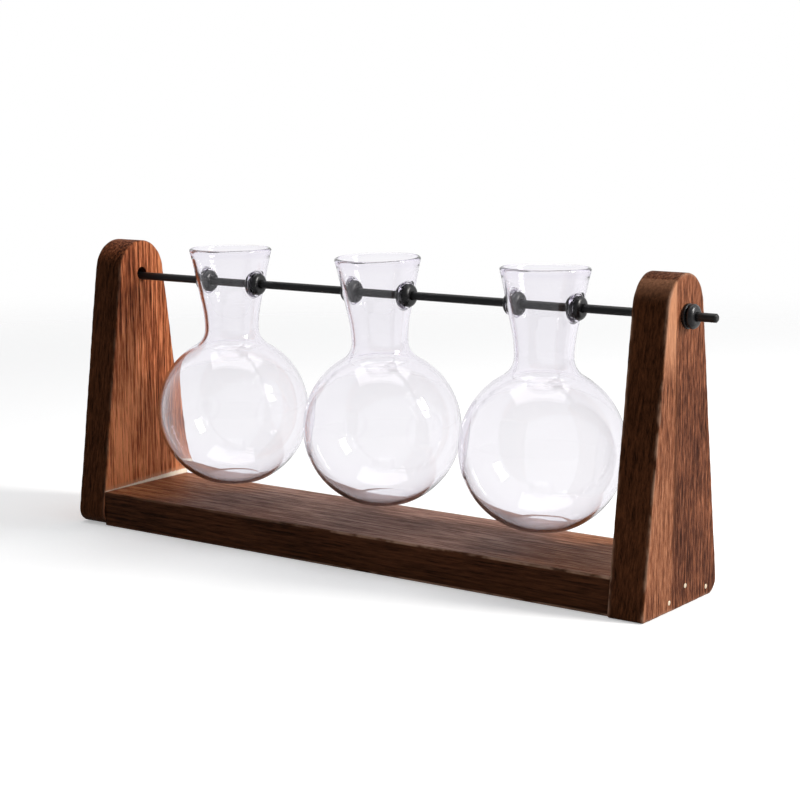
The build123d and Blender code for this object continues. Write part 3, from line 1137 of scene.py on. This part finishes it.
def straight_flare(skin_end, wall):
    """Rows up the straight flare from the end of a skin's blend to where the bead starts to swell."""
    below = np.linspace(skin_end[1], window_rows[0], 5)[1:-1]
    above = np.linspace(window_rows[-1], rim_start, 4)[1:]
    height = np.concatenate([below, window_rows, above])
    radius = skin_at_rod + (height - rod_above_base) * np.tan(flare_tilt) - wall / np.cos(flare_tilt)
    return np.stack([radius, height], axis=-1)


outer_flare = straight_flare(outer_skin[-1], 0.0)
inner_flare = straight_flare(inner_skin[-1], neck_wall)
rim_run = np.array([np.sin(flare_tilt), np.cos(flare_tilt)])
rim_side = np.array([np.cos(flare_tilt), -np.sin(flare_tilt)])
bead_middle = np.array([bead_centre, mouth_height])


def swelling_rim(skin_end, count=9):
    """Rows from a skin's last row to the side of the bead, easing out to the bead's radius."""
    start = (skin_end - bead_middle) @ rim_side, (skin_end - bead_middle) @ rim_run
    goal = np.sign(start[0]) * bead_radius
    share = np.linspace(0.0, 1.0, count)[1:]
    side = start[0] + (goal - start[0]) * ease(share, 0.0, 1.0)
    run = start[1] * (1.0 - share)
    return bead_middle + side[:, None] * rim_side + run[:, None] * rim_run


bead_angle = np.linspace(0.0, np.pi, 15)[1:-1, None]
bead = bead_middle + bead_radius * (np.cos(bead_angle) * rim_side + np.sin(bead_angle) * rim_run)
vase_profile = np.concatenate([
    outer_skin, outer_flare, swelling_rim(outer_flare[-1]), bead,
    swelling_rim(inner_flare[-1])[::-1], inner_flare[::-1], inner_skin[::-1],
])
outer_window = len(outer_skin) + int(np.argmin(abs(outer_flare[:, 1] - window_rows[0])))
inner_window = len(vase_profile) - 1 - len(inner_skin) - int(
    np.argmin(abs(inner_flare[:, 1] - window_rows[0]))
)
flare_degrees = round(np.degrees(flare_tilt), 2)
print("vase profile of", len(vase_profile), "points, neck flaring by", flare_degrees, "degrees")

# %% [markdown]
# Two rod holes pierce the neck. A boolean cut would leave them with sharp edges and ragged faces. Instead a
# window is left out of the grid round each hole, and a patch fills it: rings that start at the window's
# border, rise to a flattened collar, turn through the hole and come back to the window of the inner skin.

# %% Rod holes
neck_hole_radius = barrel_radius + running_clearance
collar_place = skin_at_rod - lip_wall / 2 / np.cos(flare_tilt)
collar_radius = 0.0061
collar_spread = 0.0073
hole_edge_radius = 0.0007

turn_angle = np.pi / 2 + np.linspace(0.0, 2.0 * np.pi, round_steps + 1)
vase_grid = np.stack([
    vase_profile[:, 0, None] * np.cos(turn_angle),
    vase_profile[:, 0, None] * np.sin(turn_angle),
    vase_profile[:, 1, None] - rod_above_base + 0.0 * turn_angle,
], axis=-1)


def window_border(first_row, step, middle_column):
    """Row and column numbers once round a window's border, from the row below the hole."""
    rows = first_row + step * np.arange(2 * window_half_rows + 1)
    columns = middle_column + np.arange(-window_half_columns, window_half_columns + 1)
    level = np.ones(len(columns) - 1, int)
    plumb = np.ones(len(rows) - 1, int)
    row_walk = [rows[0] * level, rows[:-1], rows[-1] * level, rows[:0:-1]]
    column_walk = [columns[:-1], columns[-1] * plumb, columns[:0:-1], columns[0] * plumb]
    walk = np.concatenate(row_walk), np.concatenate(column_walk)
    return [np.concatenate([part, part[:1]]) for part in walk]


def neck_skin(sideways, upward, wall):
    """How far a neck skin stands from the axis at a place beside and above the rod's axis."""
    radius = skin_at_rod + upward * np.tan(flare_tilt) - wall / np.cos(flare_tilt)
    return np.sqrt(radius**2 - sideways**2)


def collar_half(border, wall, lift):
    """Rings from a window's border to the hole's edge on one skin, in the frame of the hole.

    Outside collar_spread the rings lie on the neck. Inside collar_radius they lie on the collar's flat
    face. Between the two an S-shaped step carries one into the other.
    """
    ray = border[:, 1:] / np.linalg.norm(border[:, 1:], axis=1, keepdims=True)
    share = np.linspace(0.0, 1.0, 7)[1:, None, None]
    spread = border[:, 1:] + (collar_spread * ray - border[:, 1:]) * share
    step = np.linspace(collar_spread, collar_radius, 10)[1:, None, None] * ray
    flat_radius = np.linspace(collar_radius, neck_hole_radius + hole_edge_radius, 5)[1:, None, None]
    plane = np.concatenate([spread, step, flat_radius * ray])
    on_collar = ease(-np.linalg.norm(plane, axis=-1), -collar_spread, -collar_radius)
    out = neck_skin(plane[..., 0], plane[..., 1], wall)
    out = out + (collar_place + lift - out) * on_collar
    return np.concatenate([border[None], np.concatenate([out[..., None], plane], axis=-1)]), ray


def hole_patch(middle_column, side):
    """All the rings of one rod hole: outer collar, rounded edge, hole wall, rounded edge, inner collar."""
    rings = []
    for first_row, step, wall, lift in (
        (outer_window, 1, 0.0, collar_thickness / 2),
        (inner_window, -1, neck_wall, -collar_thickness / 2),
    ):
        rows, columns = window_border(first_row, step, middle_column)
        border = vase_grid[rows, columns] * [side, 1.0, 1.0]
        half, ray = collar_half(border, wall, lift)
        angle = np.radians(np.linspace(0.0, 90.0, 7))[1:, None]
        radius = neck_hole_radius + hole_edge_radius * (1.0 - np.sin(angle))
        out = collar_place + lift - np.sign(lift) * hole_edge_radius * (1.0 - np.cos(angle))
        edge = np.concatenate([
            np.broadcast_to(out[..., None], (len(angle), len(ray), 1)), radius[..., None] * ray
        ], axis=-1)
        rings.append(np.concatenate([half, edge]))
    patch = np.concatenate([rings[0], rings[1][::-1]])
    return patch * [side, 1.0, 1.0]


quarter = round_steps // 4
patches = [hole_patch(quarter, -1), hole_patch(3 * quarter, 1)]
print(len(patches), "rod holes of", patches[0].shape[0], "rings each")

# %% [markdown]
# Each vase is the same glass, turned about the rod by the angle at which it came to rest. Two vases hang
# a degree or two out of plumb, as rubber holds them where they were last put.

# %% Vases
hang_angles = {"left": 0.0, "middle": 2.0, "right": -1.0}

window_mask = np.zeros((len(vase_profile) - 1, round_steps), bool)
for first_row in (outer_window, inner_window - 2 * window_half_rows):
    for column in (quarter, 3 * quarter):
        window_mask[
            first_row:first_row + 2 * window_half_rows,
            column - window_half_columns:column + window_half_columns,
        ] = True

for vase, lean in hang_angles.items():
    node = f"{vase}_glass_vase"
    low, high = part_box(node)
    sine, cosine = np.sin(np.radians(lean)), np.cos(np.radians(lean))
    swing = np.array([[1.0, 0.0, 0.0], [0.0, cosine, -sine], [0.0, sine, cosine]])
    place = np.array([(low.x + high.x) / 2, 0.0, rod_height])
    grids = [grid @ swing.T + place for grid in (vase_grid, *patches)]
    build_piece(
        f"{vase}_clear_vase", grids, vase_glass, f"{vase}_vase", [node],
        gaps={0: window_mask},
    )
